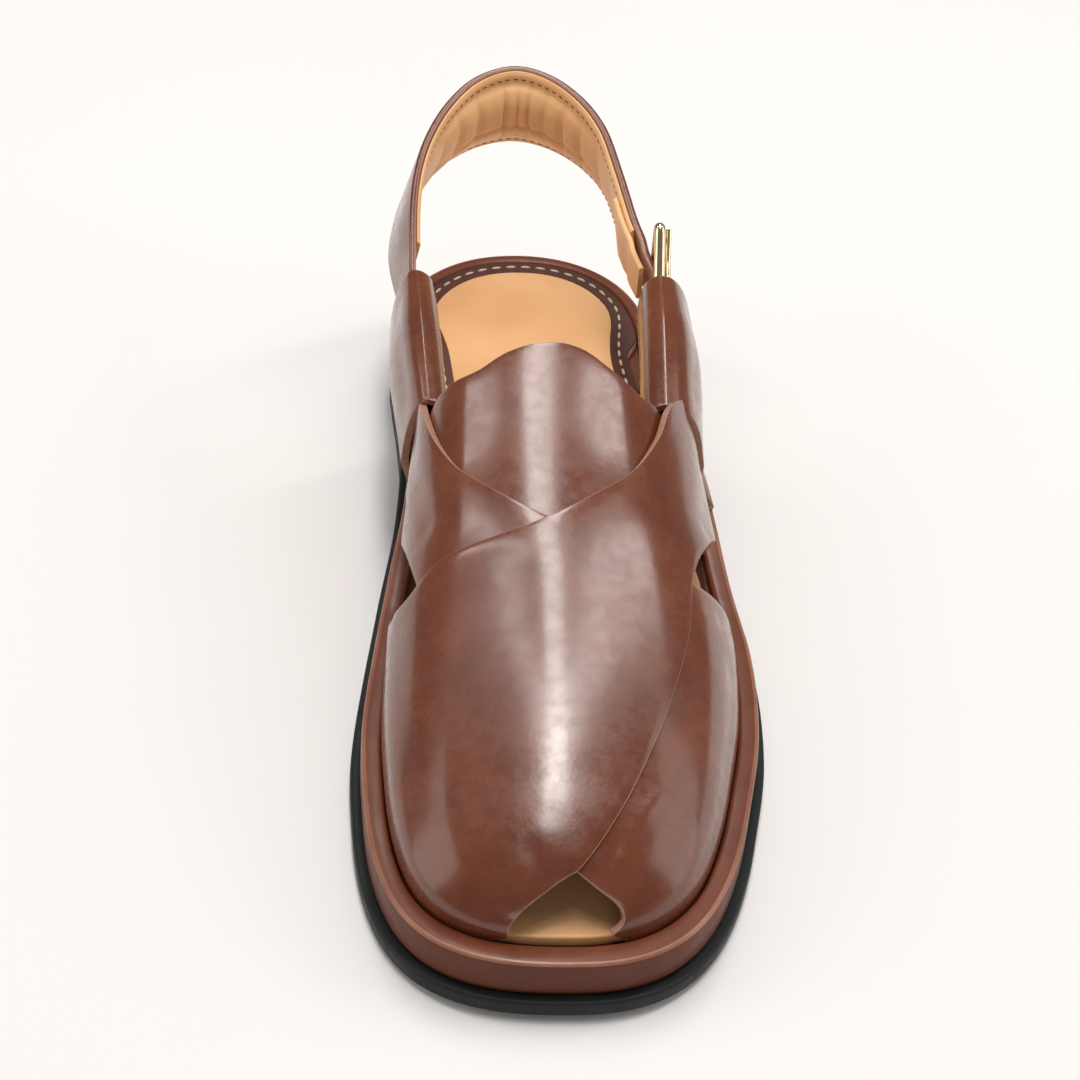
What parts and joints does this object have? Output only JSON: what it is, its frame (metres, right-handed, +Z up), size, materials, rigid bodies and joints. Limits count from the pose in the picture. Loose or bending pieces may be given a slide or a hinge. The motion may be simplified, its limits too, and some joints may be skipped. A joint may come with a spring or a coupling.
{
  "type": "crossed-strap chappal",
  "caption": "Left leather chappal with crossed straps over the forefoot, side sleeves, a padded heel strap, a bar buckle and a rimmed platform on a rubber sole.",
  "frame": {"origin": "middle of the underside of the whole chappal, on the floor", "axes": "+Z up, -Y towards the toe, +Y towards the heel, +X towards the outer side of the foot"},
  "size_m": [0.1116, 0.295, 0.092],
  "materials": {
    "leather": "polished smooth leather",
    "lining": "matte smooth lining leather",
    "rubber": "satin rubber",
    "metal": "polished pale gold plating"
  },
  "bodies": {
    "root": {"outsole": "rubber", "heel": "rubber", "midsole": "leather", "insole": "lining", "upper": "leather", "tongue": "leather", "heel_strap": "leather", "heel_pad": "lining", "buckle_frame": "metal", "buckle_prong": "metal", "buckle_tab": "leather", "buckle_guard": "lining"}
  },
  "joints": []
}
